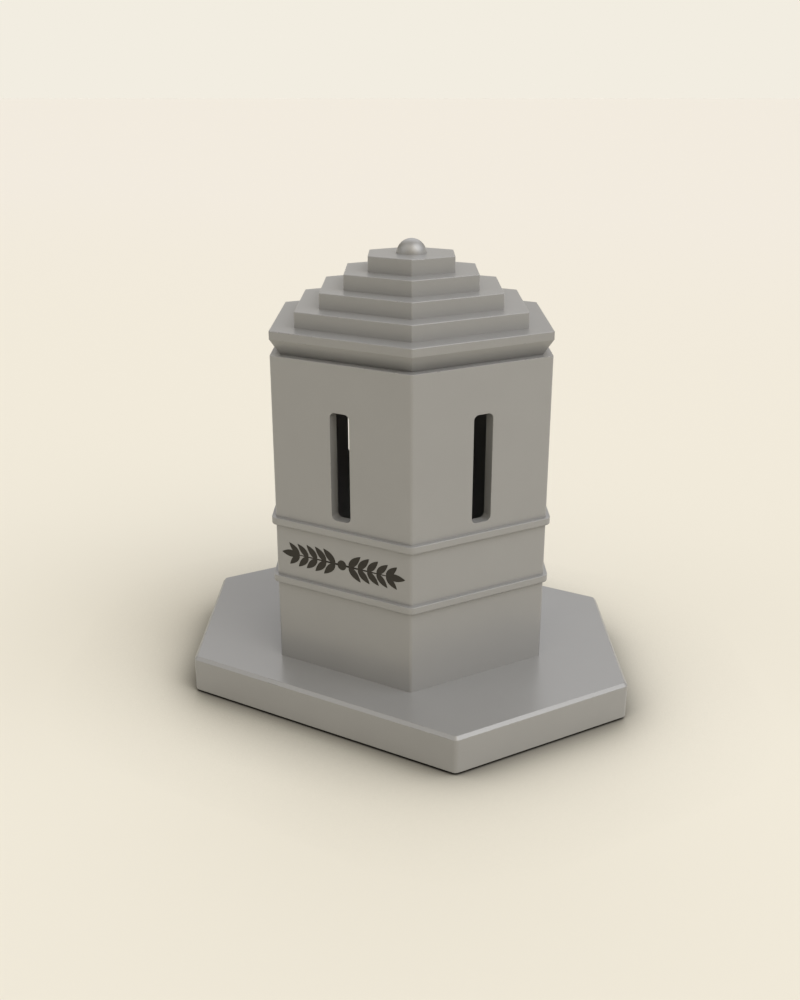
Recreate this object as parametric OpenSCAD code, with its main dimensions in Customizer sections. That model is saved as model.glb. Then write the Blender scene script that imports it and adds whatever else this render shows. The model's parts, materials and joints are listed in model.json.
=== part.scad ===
// Hexagonal spice box: a base plate, a slit scent chamber with two beads round it, and a
// lift-off lid whose roof is a stack of stepped plates under a small ball.
// Lengths are in millimetres. Z = 0 is the surface that the box stands on, and X = Y = 0 is the
// middle of the base plate. The front face looks towards -Y, and every hexagon has flats facing
// -Y and +Y. The body stands a little behind the middle of the base plate.

/* [Base plate] */
// Width of the ledge in front of the body
front_ledge = 9.6; // [6:0.1:20]
// Width of the ledge behind the body
back_ledge = 6.1; // [5:0.1:20]
// Width of the ledge beside the slanting faces of the body, halfway between front and back
side_ledge = 16.7; // [12:0.1:24]
// Thickness of the base plate
base_t = 7.3; // [6:0.1:12]
// Bevel along the top edge of the base plate
base_bevel = 0.6; // [0.2:0.1:1.5]
// Radius of the upright corners of the base plate
base_corner_r = 1.2; // [0.4:0.1:3]

/* [Pad under the base] */
// Thickness of the pad
pad_t = 1.5; // [1:0.1:2.5]
// How far the pad stands out below the base plate
pad_proud = 0.5; // [0.3:0.1:0.8]
// Width of metal left round the recess that holds the pad
pad_margin = 3; // [1.5:0.5:8]
// Radius of the corners of the recess
pad_corner_r = 3; // [1:0.5:6]

/* [Body] */
// Width of the body across its flats
body_flats = 52; // [46:1:60]
// Height of the body above the base plate
body_h = 61.5; // [50:0.5:90]
// Thickness of the body's walls
wall_t = 2.2; // [1.6:0.1:3.5]
// Radius of the upright corners of the body
corner_r = 0.8; // [0.3:0.1:1.5]

/* [Scent slits] */
// Width of each slit
slit_w = 4; // [3:0.1:10]
// Height of each slit
slit_h = 20.7; // [10:0.1:30]
// Height of the wall left between the slits and the rim
slit_head = 9; // [6:0.1:14]
// Radius of the corners of each slit
slit_corner_r = 1; // [0.4:0.1:1.4]

/* [Beads] */
// Height of a bead from its lower edge to its upper edge
bead_h = 1.5; // [1.2:0.1:2.6]
// How far a bead stands out from the body
bead_out = 0.8; // [0.6:0.05:0.9]
// Radius of the two rounded edges of a bead
bead_soft = 0.2; // [0.1:0.05:0.5]
// Gap between the foot of the slits and the upper bead
bead_gap = 1.8; // [0.5:0.05:4]
// Distance between the middles of the two beads
band_h = 12; // [8:0.1:16]

/* [Floor block] */
// Thickness of the block that closes the foot of the body
floor_t = 8; // [7.5:0.5:14]
// Gap between the block and the walls round it
floor_gap = 0.05; // [0.02:0.01:0.2]

/* [Body screws] */
// Thread diameter of the screws that hold the body down
screw_d = 4; // [3:0.5:5]
// Distance between the two screws
screw_spacing = 30; // [20:1:36]
// Length of thread held in the floor block
screw_bite = 5.7; // [4:0.1:6.4]

/* [Lid] */
// Width of the rim that the foot of the lid rests on
seat_land = 0.5; // [0.3:0.1:1]
// Height of the slanting underside of the eaves
eaves_bevel_h = 2.95; // [1.5:0.05:5]
// Height of the upright side of the eaves
eaves_side_h = 1.55; // [1:0.05:4]
// Height of each step of the roof
riser = 3; // [2.6:0.1:5]
// Depth of each step of the roof
tread = 4.45; // [3:0.05:4.6]
// Broken edge round the top of each roof plate
plate_break = 0.15; // [0.1:0.05:0.8]
// Thickness of the plug that locates the lid in the body
plug_t = 3; // [2.5:0.1:5]
// Gap between the plug and the walls round it
plug_gap = 0.3; // [0.2:0.05:0.6]
// Bevel that leads the plug into the body
plug_bevel = 0.6; // [0.3:0.1:1]

/* [Finial and lid fixings] */
// Diameter of the ball on the roof
ball_d = 5.7; // [5:0.1:6.4]
// Depth of the middle of the ball below the surface of the top plate
ball_sink = 0.1; // [0:0.05:0.4]
// Depth of the threaded hole in the ball
ball_tap = 3.65; // [2.5:0.05:4]
// Thread diameter of the screw that clamps the roof
stem_d = 3; // [2:0.5:3]
// Diameter of the pins that keep the roof plates square
pin_d = 2; // [1.5:0.1:2.2]
// Length of each pin held in the plug and in the top plate
pin_bite = 1.6; // [1:0.1:2]

/* [Hidden] */

$fn = 64;

// Headings of the three bars that cross to make a hexagon: along X, then the slanting two
bar_turns = [90, 30, 150];

// Small fits that several pieces share
thread_gap = 0.03;    // between a thread or a pin and its hole
hole_gap = 0.15;      // between a screw's shank and a plain hole
head_sink = 0.2;      // of a countersunk head below its surface
tip_gap = 0.3;        // beyond the end of a screw or a pin
pad_gap = 0.3;        // between the pad and the side of its recess
ball_gap = 0.08;      // between the ball and the side of its seat
seat_gap = 0.02;      // between the ball and the edge that it sits on
overrun = 1;          // of every cut past the surface that it opens

// Proportions of countersunk screws: head diameter, key width and key depth as shares
// of the thread diameter
head_share = 2;
key_share = 0.625;
key_depth_share = 0.4;

// Colours of the finishes
satin_metal = "#97948c";
bright_metal = "#b4b3b0";
steel = "#6f6e6b";
pad_black = "#23211e";

// Levels of the base and the body: the slits hang from the rim, and the beads from the slits
base_z = pad_proud;
pad_top_z = pad_t;
deck_z = base_z + base_t;
rim_z = deck_z + body_h;
slit_mid_z = rim_z - slit_head - slit_h / 2;
upper_bead_z = slit_mid_z - slit_h / 2 - bead_gap - bead_h / 2;
lower_bead_z = upper_bead_z - band_h;

// Levels of the lid
plug_z = rim_z - plug_t;
eaves_t = eaves_bevel_h + eaves_side_h;
eaves_top_z = rim_z + eaves_t;
crown_z = eaves_top_z + 3 * riser;
roof_top_z = crown_z + riser;
ball_z = roof_top_z - ball_sink;

// How far the body's axis lies behind the middle of the base plate
body_back = (front_ledge - back_ledge) / 2;

// Half widths across flats
body_apothem = body_flats / 2;
cavity_apothem = body_apothem - wall_t;
foot_apothem = cavity_apothem + seat_land;
plug_apothem = cavity_apothem - plug_gap;
crown_apothem = body_apothem - 4 * tread;
base_front_apothem = body_apothem + (front_ledge + back_ledge) / 2;
base_side_apothem = body_apothem + side_ledge;

// Body screws, with 90 degree heads flush under the base plate
screw_r = screw_d / 2;
screw_head_r = screw_r * head_share;
screw_foot_z = pad_top_z + head_sink;
screw_tip_z = deck_z + screw_bite;

// Screw that draws the ball down onto the roof plates
stem_r = stem_d / 2;
stem_head_r = stem_r * head_share;
stem_foot_z = plug_z + head_sink;
stem_hole_r = stem_r + hole_gap;
ball_r = ball_d / 2;
ball_foot_z = ball_z - ball_r;
stem_tip_z = ball_foot_z + ball_tap - tip_gap;

// The ball sits on the edge of the screw's hole, at the foot of a round seat
ball_seat_r = ball_r + ball_gap;
ball_seat_z = ball_z - sqrt(pow(ball_r, 2) - pow(stem_hole_r, 2)) - seat_gap;

// The pins stand midway between the ball's seat and the flats of the top plate
pin_r = pin_d / 2;
pin_x = (crown_apothem + ball_seat_r) / 2;
pin_foot_z = rim_z - pin_bite;
pin_tip_z = crown_z + pin_bite;

// Corners of a hexagon with flats front and back, from the half widths across its flats
function hexagon_points(front, side) =
    let (edge = (side - front * sin(30)) / cos(30), tip = side / cos(30))
    [[tip, 0], [edge, front], [-edge, front], [-tip, 0], [-edge, -front], [edge, -front]];

// A point between two others
function between(from, to, length) = from + (to - from) * length / norm(to - from);

// A hexagon whose corners are rounded: every corner is 120 degrees, so its arc starts
// r * tan(30) along each side
module rounded_hexagon(front, side, r) {
    points = hexagon_points(front, side);
    last = len(points) - 1;
    polygon([for (i = [0 : last]) each [
        between(points[i], points[i == 0 ? last : i - 1], r * tan(30)),
        between(points[i], points[i == last ? 0 : i + 1], r * tan(30))]]);
    for (i = [0 : last]) {
        before = between(points[i], points[i == 0 ? last : i - 1], r);
        after = between(points[i], points[i == last ? 0 : i + 1], r);
        corner = points[i];
        inward = (before + after) / 2 - corner;
        translate(corner + inward * (r / cos(30)) / norm(inward)) circle(r);
    }
}

// What three crossing bars share: a plate whose six sides have one upright profile, mitred at
// the corners. The child is a bar's cross-section, with its width along X and its height
// along Y, and $half is half the width of the plate across that pair of sides.
module crossing_bars(front, side) {
    intersection_for (turn = bar_turns)
        rotate([90, 0, turn])
            bar(turn == bar_turns[0] ? front : side, 2 * (front + side)) children();
}

module bar($half, reach) {
    linear_extrude(reach, center = true) children();
}

// The right-hand half of an outline, with its mirror image
module mirrored_outline(points) {
    last = len(points) - 1;
    polygon(concat(points, [for (i = [last : -1 : 0]) [-points[i][0], points[i][1]]]));
}

// Cross-section of an upright plate whose top edge is broken or bevelled
module plate_section(height, top_break) {
    mirrored_outline([[$half, 0], [$half, height - top_break], [$half - top_break, height]]);
}

// A screw with a 90 degree countersunk head and a hexagonal key socket, head down
module countersunk_screw(r, head_r, length) {
    difference() {
        union() {
            cylinder(h = length, r = r);
            cylinder(h = head_r - r, r1 = head_r, r2 = r);
        }
        translate([0, 0, -overrun])
            cylinder(h = overrun + r * 2 * key_depth_share, r = r * 2 * key_share / sqrt(3), $fn = 6);
    }
}

// The hole for such a screw: a plain bore and the seat of its head
module countersunk_hole(r, head_r, length, gap) {
    translate([0, 0, -overrun]) cylinder(h = overrun + length, r = r + gap);
    translate([0, 0, -head_sink - overrun]) cylinder(h = head_sink + overrun, r = head_r + gap);
    cylinder(h = head_r - r, r1 = head_r + gap, r2 = r + gap);
}

// On the body's axis, which the lid shares
module at_body() {
    translate([0, body_back, 0]) children();
}

module at_body_screws() {
    for (side = [-1, 1]) translate([side * screw_spacing / 2, 0, 0]) children();
}

module at_pins() {
    for (side = [-1, 1]) translate([side * pin_x, 0, 0]) children();
}

// Holes through one plate of the lid for the clamping screw and the two pins
module stack_holes(z, height) {
    translate([0, 0, z - overrun]) cylinder(h = height + 2 * overrun, r = stem_hole_r);
    at_pins() translate([0, 0, z - overrun]) cylinder(h = height + 2 * overrun, r = pin_r + thread_gap);
}

module base_plate() {
    recess_h = pad_top_z - base_z;
    color(satin_metal) difference() {
        translate([0, 0, base_z]) intersection() {
            linear_extrude(base_t)
                rounded_hexagon(base_front_apothem, base_side_apothem, base_corner_r);
            crossing_bars(base_front_apothem, base_side_apothem) plate_section(base_t, base_bevel);
        }
        translate([0, 0, base_z - overrun])
            linear_extrude(overrun + recess_h) pad_outline(0);
        at_body() at_body_screws() translate([0, 0, screw_foot_z])
            countersunk_hole(screw_r, screw_head_r, base_t, hole_gap);
    }
}

module base_pad() {
    color(pad_black) linear_extrude(pad_t) pad_outline(pad_gap);
}

// Outline of the recess under the base, or of the pad when gap draws it in
module pad_outline(gap) {
    inset = pad_margin + gap;
    rounded_hexagon(base_front_apothem - inset, base_side_apothem - inset, pad_corner_r);
}

module body_screws() {
    color(steel) at_body() at_body_screws() translate([0, 0, screw_foot_z])
        countersunk_screw(screw_r, screw_head_r, screw_tip_z - screw_foot_z);
}

module floor_block() {
    apothem = cavity_apothem - floor_gap;
    color(satin_metal) at_body() difference() {
        translate([0, 0, deck_z])
            linear_extrude(floor_t) polygon(hexagon_points(apothem, apothem));
        at_body_screws() translate([0, 0, deck_z - overrun])
            cylinder(h = overrun + screw_bite + tip_gap, r = screw_r + thread_gap);
    }
}

// An upright slit with rounded corners, cut outwards through the front wall
module slit() {
    straight_w = slit_w - 2 * slit_corner_r;
    straight_h = slit_h - 2 * slit_corner_r;
    translate([0, overrun - cavity_apothem, slit_mid_z])
        rotate([90, 0, 0])
            linear_extrude(wall_t + 2 * overrun) {
                square([slit_w, straight_h], center = true);
                square([straight_w, slit_h], center = true);
                for (x = [-1, 1], y = [-1, 1])
                    translate([x * straight_w / 2, y * straight_h / 2]) circle(slit_corner_r);
            }
}

module body_shell() {
    color(satin_metal) at_body() difference() {
        translate([0, 0, deck_z])
            linear_extrude(body_h) rounded_hexagon(body_apothem, body_apothem, corner_r);
        translate([0, 0, deck_z - overrun])
            linear_extrude(body_h + 2 * overrun)
                polygon(hexagon_points(cavity_apothem, cavity_apothem));
        for (face = [0 : 5]) rotate([0, 0, face * 60]) slit();
    }
}

// A flat bead laid round the body. Its six lengths are mitred, and its tips are rounded like
// the body's corners.
module bead(z) {
    tip_r = corner_r + bead_out;
    color(satin_metal) at_body() translate([0, 0, z]) difference() {
        intersection() {
            crossing_bars(body_apothem, body_apothem) bead_section();
            linear_extrude(2 * bead_h, center = true)
                rounded_hexagon(body_apothem + bead_out, body_apothem + bead_out, tip_r);
        }
        linear_extrude(2 * bead_h, center = true)
            polygon(hexagon_points(body_apothem, body_apothem));
    }
}

// Cross-section of a bead on both sides of the body: a flat face between two rounded edges
module bead_section() {
    reach = $half + bead_out;
    flat_h = bead_h - 2 * bead_soft;
    square([2 * (reach - bead_soft), bead_h], center = true);
    square([2 * reach, flat_h], center = true);
    for (side = [-1, 1], end = [-1, 1])
        translate([side * (reach - bead_soft), end * flat_h / 2]) circle(bead_soft);
}

module lower_bead() {
    bead(lower_bead_z);
}

module upper_bead() {
    bead(upper_bead_z);
}

module lid_plug() {
    color(satin_metal) at_body() difference() {
        translate([0, 0, plug_z])
            crossing_bars(plug_apothem, plug_apothem)
                mirrored_outline([[$half - plug_bevel, 0], [$half, plug_bevel], [$half, plug_t]]);
        translate([0, 0, stem_foot_z]) countersunk_hole(stem_r, stem_head_r, plug_t, hole_gap);
        at_pins() translate([0, 0, pin_foot_z - tip_gap])
            cylinder(h = pin_bite + tip_gap + overrun, r = pin_r + thread_gap);
    }
}

module eaves_plate() {
    color(satin_metal) at_body() difference() {
        translate([0, 0, rim_z])
            crossing_bars(body_apothem, body_apothem)
                mirrored_outline([[foot_apothem, 0], [$half, eaves_bevel_h],
                                  [$half, eaves_t - plate_break], [$half - plate_break, eaves_t]]);
        stack_holes(rim_z, eaves_t);
    }
}

// One step of the roof, counted from the eaves, which is the first
module roof_plate(step) {
    apothem = body_apothem - (step - 1) * tread;
    z = eaves_top_z + (step - 2) * riser;
    color(satin_metal) at_body() difference() {
        translate([0, 0, z]) crossing_bars(apothem, apothem) plate_section(riser, plate_break);
        stack_holes(z, riser);
    }
}

// The top plate has blind holes for the pins and a round seat for the ball
module crown_plate() {
    color(satin_metal) at_body() difference() {
        translate([0, 0, crown_z])
            crossing_bars(crown_apothem, crown_apothem) plate_section(riser, plate_break);
        translate([0, 0, crown_z - overrun]) cylinder(h = riser + 2 * overrun, r = stem_hole_r);
        translate([0, 0, ball_seat_z])
            cylinder(h = roof_top_z - ball_seat_z + overrun, r = ball_seat_r);
        at_pins() translate([0, 0, crown_z - overrun])
            cylinder(h = overrun + pin_bite + tip_gap, r = pin_r + thread_gap);
    }
}

module stack_pins() {
    color(steel) at_body() at_pins() translate([0, 0, pin_foot_z])
        cylinder(h = pin_tip_z - pin_foot_z, r = pin_r);
}

module lid_screw() {
    color(steel) at_body() translate([0, 0, stem_foot_z])
        countersunk_screw(stem_r, stem_head_r, stem_tip_z - stem_foot_z);
}

module finial_ball() {
    color(bright_metal) at_body() difference() {
        translate([0, 0, ball_z]) sphere(ball_r);
        translate([0, 0, ball_foot_z - overrun])
            cylinder(h = overrun + ball_tap, r = stem_r + thread_gap);
    }
}

base_plate();
base_pad();
body_screws();
floor_block();
body_shell();
lower_bead();
upper_bead();
lid_plug();
eaves_plate();
roof_plate(2);  // roof_plate_2
roof_plate(3);  // roof_plate_3
roof_plate(4);  // roof_plate_4
crown_plate();
stack_pins();
lid_screw();
finial_ball();
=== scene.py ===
"""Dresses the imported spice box: satin metal, a sprig on the band, studio light and camera.

Everything is in metres in the frame's own axes: Z up the body's axis, the front face towards
-Y, and the standing surface at Z = 0.
"""

import json
import logging
import math
from dataclasses import dataclass, field, replace
from enum import Enum

import bmesh
import bpy
from mathutils import Matrix, Vector

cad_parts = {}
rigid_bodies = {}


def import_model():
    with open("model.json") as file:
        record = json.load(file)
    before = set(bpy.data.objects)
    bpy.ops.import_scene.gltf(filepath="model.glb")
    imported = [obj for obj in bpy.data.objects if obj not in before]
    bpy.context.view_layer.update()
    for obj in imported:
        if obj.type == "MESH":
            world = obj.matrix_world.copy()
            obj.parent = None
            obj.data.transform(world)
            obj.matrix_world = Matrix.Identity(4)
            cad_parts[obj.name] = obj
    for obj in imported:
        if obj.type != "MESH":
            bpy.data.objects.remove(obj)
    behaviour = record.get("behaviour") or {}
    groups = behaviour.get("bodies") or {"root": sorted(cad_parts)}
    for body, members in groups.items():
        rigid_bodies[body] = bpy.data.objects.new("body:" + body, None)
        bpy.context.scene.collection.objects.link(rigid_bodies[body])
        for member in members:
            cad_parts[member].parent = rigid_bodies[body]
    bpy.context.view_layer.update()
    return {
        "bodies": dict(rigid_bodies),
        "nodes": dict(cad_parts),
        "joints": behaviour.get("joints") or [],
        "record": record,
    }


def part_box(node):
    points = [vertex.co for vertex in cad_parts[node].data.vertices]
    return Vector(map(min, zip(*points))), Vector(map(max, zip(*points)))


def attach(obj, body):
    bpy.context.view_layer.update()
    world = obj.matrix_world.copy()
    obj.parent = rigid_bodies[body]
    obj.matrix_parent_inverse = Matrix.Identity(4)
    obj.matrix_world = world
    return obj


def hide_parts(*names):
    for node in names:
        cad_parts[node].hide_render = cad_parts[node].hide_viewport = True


LOG = logging.getLogger("spice_box")

MM = 0.001
SIDES = 6
SIXTH = math.radians(60)
HALF_SIXTH = SIXTH / 2
QUARTER = math.radians(90)
MERGE = 1e-6  # vertices closer than this are one
SOFT_MIDDLE = 0.3  # how far in the middle of a small round edge lies, in radii
LEVEL_UP = 0.999  # a face whose normal's Z is above this counts as a level top
CLOUD_DETAIL = 3.0  # finer layers in the noise of a metal's clouding
CLOUD_SPAN = (0.3, 0.7)  # values of that noise between which the clouding runs
GRAIN_DETAIL = 2.0  # finer layers in the noise of a grain
GRAIN_SPAN = (0.35, 0.65)  # values of that noise between which two colours blend

Point = tuple[float, float]


class Body(Enum):
    """The two bodies of the frame that a piece can ride on."""

    BOX = "box"
    LID = "lid"


class Slot(Enum):
    """The record's material slots."""

    SATIN = "satin_metal"
    BRIGHT = "bright_metal"
    PAD = "foot_pad"


def linear(hex_colour: str) -> tuple[float, float, float, float]:
    """Turns an sRGB hex colour to the linear values that shaders take.

    Args:
        hex_colour: Six hex digits after a number sign.

    Returns:
        Red, green, blue and an alpha of 1.
    """
    channels = [int(hex_colour[i : i + 2], 16) / 255 for i in (1, 3, 5)]
    return (*[c / 12.92 if c <= 0.04045 else ((c + 0.055) / 1.055) ** 2.4 for c in channels], 1.0)


def half_width(node: str) -> float:
    """Gives half of a node's width from front to back."""
    low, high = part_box(node)
    return (high[1] - low[1]) / 2


def add_node(
    tree: bpy.types.NodeTree,
    kind: str,
    inputs: dict[str | int, object] | None = None,
    **settings: object,
) -> bpy.types.Node:
    """Adds one node with its settings, values and links.

    Args:
        tree: The shader or geometry tree that the node joins.
        kind: Blender's name for the node type.
        inputs: For each input's name or index, a value or the socket that feeds it.
        settings: The node's own properties.

    Returns:
        The new node.
    """
    node = tree.nodes.new(kind)
    for name, value in settings.items():
        setattr(node, name, value)
    for key, value in (inputs or {}).items():
        if isinstance(value, bpy.types.NodeSocket):
            tree.links.new(value, node.inputs[key])
        else:
            node.inputs[key].default_value = value
    return node


# Finishes


def new_material(name: str) -> bpy.types.Material:
    """Makes a material with an empty node tree.

    Args:
        name: The material's name.

    Returns:
        The material.
    """
    material = bpy.data.materials.new(name)
    material.use_nodes = True
    material.node_tree.nodes.clear()
    return material


def add_noise(tree: bpy.types.NodeTree, size_mm: float, detail: float) -> bpy.types.NodeSocket:
    """Adds a noise on the piece's own coordinates.

    Args:
        tree: The material's node tree.
        size_mm: The size of the noise's patches.
        detail: How many finer layers it has.

    Returns:
        The noise, most of it between 0.3 and 0.7.
    """
    place = add_node(tree, "ShaderNodeTexCoord").outputs["Object"]
    return add_node(
        tree,
        "ShaderNodeTexNoise",
        {"Vector": place, "Scale": 1 / (size_mm * MM), "Detail": detail},
    ).outputs["Fac"]


def add_grain(
    tree: bpy.types.NodeTree, grain: bpy.types.NodeSocket, depth_mm: float
) -> bpy.types.NodeSocket:
    """Adds the relief of a grain.

    Args:
        tree: The material's node tree.
        grain: The grain's height from 0 to 1.
        depth_mm: How deep it is.

    Returns:
        The normal that the grain gives the surface.
    """
    return add_node(
        tree, "ShaderNodeBump", {"Height": grain, "Distance": depth_mm * MM, "Strength": 1.0}
    ).outputs["Normal"]


@dataclass(frozen=True)
class MetalFinish:
    """A metal surface: its colour, its grain and the polish of its handled edges."""

    name: str
    colour: str
    metallic: float
    roughness: float
    grain_mm: float  # distance between the dimples that the blasting or plating left
    grain_depth_mm: float
    cloud_mm: float  # size of the faint patches where the surface is a little duller
    cloud_roughness: float
    cloud_tone: float  # how much darker those patches are, and how much paler the rest
    worn_polish: float  # how much smoother a broken edge is
    worn_tone: float  # how much paler a broken edge is

    def build(self) -> bpy.types.Material:
        """Builds the material.

        Returns:
            A metallic material with grain, clouding and polished edges.
        """
        material = new_material(self.name)
        tree = material.node_tree
        cloud = add_noise(tree, self.cloud_mm, CLOUD_DETAIL)
        worn = add_node(tree, "ShaderNodeAttribute", attribute_name="worn").outputs["Fac"]
        roughness, tone = (
            self.clouded(tree, cloud, worn, *values)
            for values in (
                (self.roughness, self.cloud_roughness, -self.worn_polish),
                (1.0, self.cloud_tone, self.worn_tone),
            )
        )
        colour = add_node(
            tree,
            "ShaderNodeVectorMath",
            {0: linear(self.colour)[:3], "Scale": tone},
            operation="SCALE",
        ).outputs["Vector"]
        grain = add_noise(tree, self.grain_mm, GRAIN_DETAIL)
        shader = add_node(
            tree,
            "ShaderNodeBsdfPrincipled",
            {
                "Base Color": colour,
                "Metallic": self.metallic,
                "Roughness": roughness,
                "Normal": add_grain(tree, grain, self.grain_depth_mm),
            },
        )
        add_node(tree, "ShaderNodeOutputMaterial", {"Surface": shader.outputs["BSDF"]})
        return material

    def clouded(
        self,
        tree: bpy.types.NodeTree,
        cloud: bpy.types.NodeSocket,
        worn: bpy.types.NodeSocket,
        middle: float,
        spread: float,
        shift: float,
    ) -> bpy.types.NodeSocket:
        """Adds a value that changes a little with the clouding and on broken edges.

        Args:
            tree: The material's node tree.
            cloud: The clouding's noise.
            worn: 1 on broken edges.
            middle: The value's middle.
            spread: How far the clouding moves it to both sides.
            shift: How far a broken edge moves it.

        Returns:
            The value.
        """
        patchy = add_node(
            tree,
            "ShaderNodeMapRange",
            {
                "Value": cloud,
                "From Min": CLOUD_SPAN[0],
                "From Max": CLOUD_SPAN[1],
                "To Min": middle - spread,
                "To Max": middle + spread,
            },
        ).outputs["Result"]
        return add_node(
            tree,
            "ShaderNodeMath",
            {0: worn, 1: shift, 2: patchy},
            operation="MULTIPLY_ADD",
        ).outputs["Value"]


@dataclass(frozen=True)
class SoftFinish:
    """A non-metal surface with a fine grain: foam rubber, enamel or paper."""

    name: str
    colour: str
    second_colour: str
    roughness: float
    ior: float
    grain_mm: float
    grain_depth_mm: float

    def build(self) -> bpy.types.Material:
        """Builds the material.

        Returns:
            A dielectric material whose two colours are mixed by its grain.
        """
        material = new_material(self.name)
        tree = material.node_tree
        grain = add_noise(tree, self.grain_mm, GRAIN_DETAIL)
        ramp = add_node(tree, "ShaderNodeValToRGB", {"Fac": grain})
        for element, position, colour in zip(
            ramp.color_ramp.elements, GRAIN_SPAN, (self.colour, self.second_colour)
        ):
            element.position = position
            element.color = linear(colour)
        shader = add_node(
            tree,
            "ShaderNodeBsdfPrincipled",
            {
                "Base Color": ramp.outputs["Color"],
                "Roughness": self.roughness,
                "IOR": self.ior,
                "Normal": add_grain(tree, grain, self.grain_depth_mm),
            },
        )
        add_node(tree, "ShaderNodeOutputMaterial", {"Surface": shader.outputs["BSDF"]})
        return material


# Aluminium blasted with glass beads and clear anodised: an even satin grey without a lay, in
# which the surroundings show as soft patches. The metallic share was fitted together with the
# room's light to the tones of one view. Shares of 0.1 to 0.3 fit them equally well, and 0.2 is
# the middle one. The blasting's dimples are taken to be 0.05 mm and are drawn three times as
# coarse, so that a close view shows them.
SATIN_ALUMINIUM = MetalFinish(
    name="bead_blasted_aluminium",
    colour="#949494",
    metallic=0.2,
    roughness=0.30,
    grain_mm=0.15,
    grain_depth_mm=0.002,
    cloud_mm=9.0,
    cloud_roughness=0.015,
    cloud_tone=0.015,
    worn_polish=0.02,
    worn_tone=0.02,
)

# The same finish a shade darker, because the eaves came out too light in the walls' shade. One
# view can't tell whether the cause lies in the metal or in the light.
EAVES_ALUMINIUM = replace(SATIN_ALUMINIUM, name="bead_blasted_aluminium_eaves", colour="#909090")

# Aluminium turned to a ball, finely polished and clear anodised. Its colour, metallic share and
# roughness were set by trial, and its highlight is still duller than the object's.
POLISHED_ALUMINIUM = MetalFinish(
    name="polished_anodised_aluminium",
    colour="#9e9e9e",
    metallic=0.35,
    roughness=0.36,
    grain_mm=0.3,
    grain_depth_mm=0.0004,
    cloud_mm=3.0,
    cloud_roughness=0.03,
    cloud_tone=0.01,
    worn_polish=0.0,
    worn_tone=0.0,
)

# Steel screws and pins with a thin zinc plating: greyer and a little mottled.
ZINC_STEEL = MetalFinish(
    name="zinc_plated_steel",
    colour="#8b8a86",
    metallic=1.0,
    roughness=0.34,
    grain_mm=0.12,
    grain_depth_mm=0.003,
    cloud_mm=1.5,
    cloud_roughness=0.06,
    cloud_tone=0.06,
    worn_polish=0.0,
    worn_tone=0.0,
)

# Closed-cell foam rubber, cut from sheet: matt black with fine open pores on its skin.
FOAM_RUBBER = SoftFinish(
    name="foam_rubber",
    colour="#1c1a18",
    second_colour="#2a2724",
    roughness=0.9,
    ior=1.5,
    grain_mm=0.35,
    grain_depth_mm=0.05,
)

# Cold enamel rubbed into the cut ornament and wiped level: flat dark brown, hardly glossy.
DARK_ENAMEL = SoftFinish(
    name="dark_enamel",
    colour="#211d17",
    second_colour="#262219",
    roughness=0.7,
    ior=1.5,
    grain_mm=0.4,
    grain_depth_mm=0.004,
)


@dataclass(frozen=True)
class BackdropPaper:
    """Cream studio paper, a little lighter far off.

    The photograph's paper has a soft dark line drawn round the foot of the box. It is drawn here
    on top of the paper's own shadow, where the camera or a mirroring surface sees the paper, and
    takes no light from the box.
    """

    name: str = "cream_backdrop_paper"
    near_colour: str = "#e7e3d7"
    far_colour: str = "#e8e4dc"
    near_y_m: float = -0.1
    far_y_m: float = 1.0
    roughness: float = 0.9
    shade_reach_m: float = 0.03  # how far from the box the drawn shade ends
    shade_power: float = 1.8  # how dark it grows towards the foot of the box
    shade_samples: int = 16
    mirrored_shade: float = 0.5  # share of it that a mirroring surface shows

    def build(self) -> bpy.types.Material:
        """Builds the material.

        Returns:
            A matt material whose colour runs from near to far along Y.
        """
        material = new_material(self.name)
        tree = material.node_tree
        place = add_node(tree, "ShaderNodeTexCoord").outputs["Object"]
        across = add_node(tree, "ShaderNodeSeparateXYZ", {"Vector": place}).outputs["Y"]
        distance = add_node(
            tree,
            "ShaderNodeMapRange",
            {"Value": across, "From Min": self.near_y_m, "From Max": self.far_y_m},
            interpolation_type="SMOOTHSTEP",
        ).outputs["Result"]
        near, far = (linear(colour)[:3] for colour in (self.near_colour, self.far_colour))
        colour = add_node(
            tree,
            "ShaderNodeVectorMath",
            {
                0: [b - a for a, b in zip(near, far)],
                1: add_node(
                    tree, "ShaderNodeCombineXYZ", {"X": distance, "Y": distance, "Z": distance}
                ).outputs["Vector"],
                2: near,
            },
            operation="MULTIPLY_ADD",
        ).outputs["Vector"]
        # Painted shadow: near the box the paper's colour is darkened by its ambient occlusion, in
        # full where the camera sees the paper and by half in mirroring surfaces. Other rays see the
        # plain paper.
        open_sky = add_node(
            tree,
            "ShaderNodeAmbientOcclusion",
            {"Distance": self.shade_reach_m},
            samples=self.shade_samples,
        ).outputs["AO"]
        shade = add_node(
            tree, "ShaderNodeMath", {0: open_sky, 1: self.shade_power}, operation="POWER"
        ).outputs["Value"]
        camera, mirrored = seen_rays(tree)
        sight = add_node(
            tree,
            "ShaderNodeMath",
            {0: mirrored, 1: self.mirrored_shade, 2: camera},
            operation="MULTIPLY_ADD",
        ).outputs["Value"]
        seen = add_node(
            tree,
            "ShaderNodeMapRange",
            {
                "Value": sight,
                "To Min": 1.0,
                "To Max": shade,
            },
        ).outputs["Result"]
        shaded = add_node(
            tree, "ShaderNodeVectorMath", {0: colour, "Scale": seen}, operation="SCALE"
        ).outputs["Vector"]
        shader = add_node(
            tree,
            "ShaderNodeBsdfPrincipled",
            {"Base Color": shaded, "Roughness": self.roughness, "Specular IOR Level": 0.0},
        )
        add_node(tree, "ShaderNodeOutputMaterial", {"Surface": shader.outputs["BSDF"]})
        return material


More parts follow.
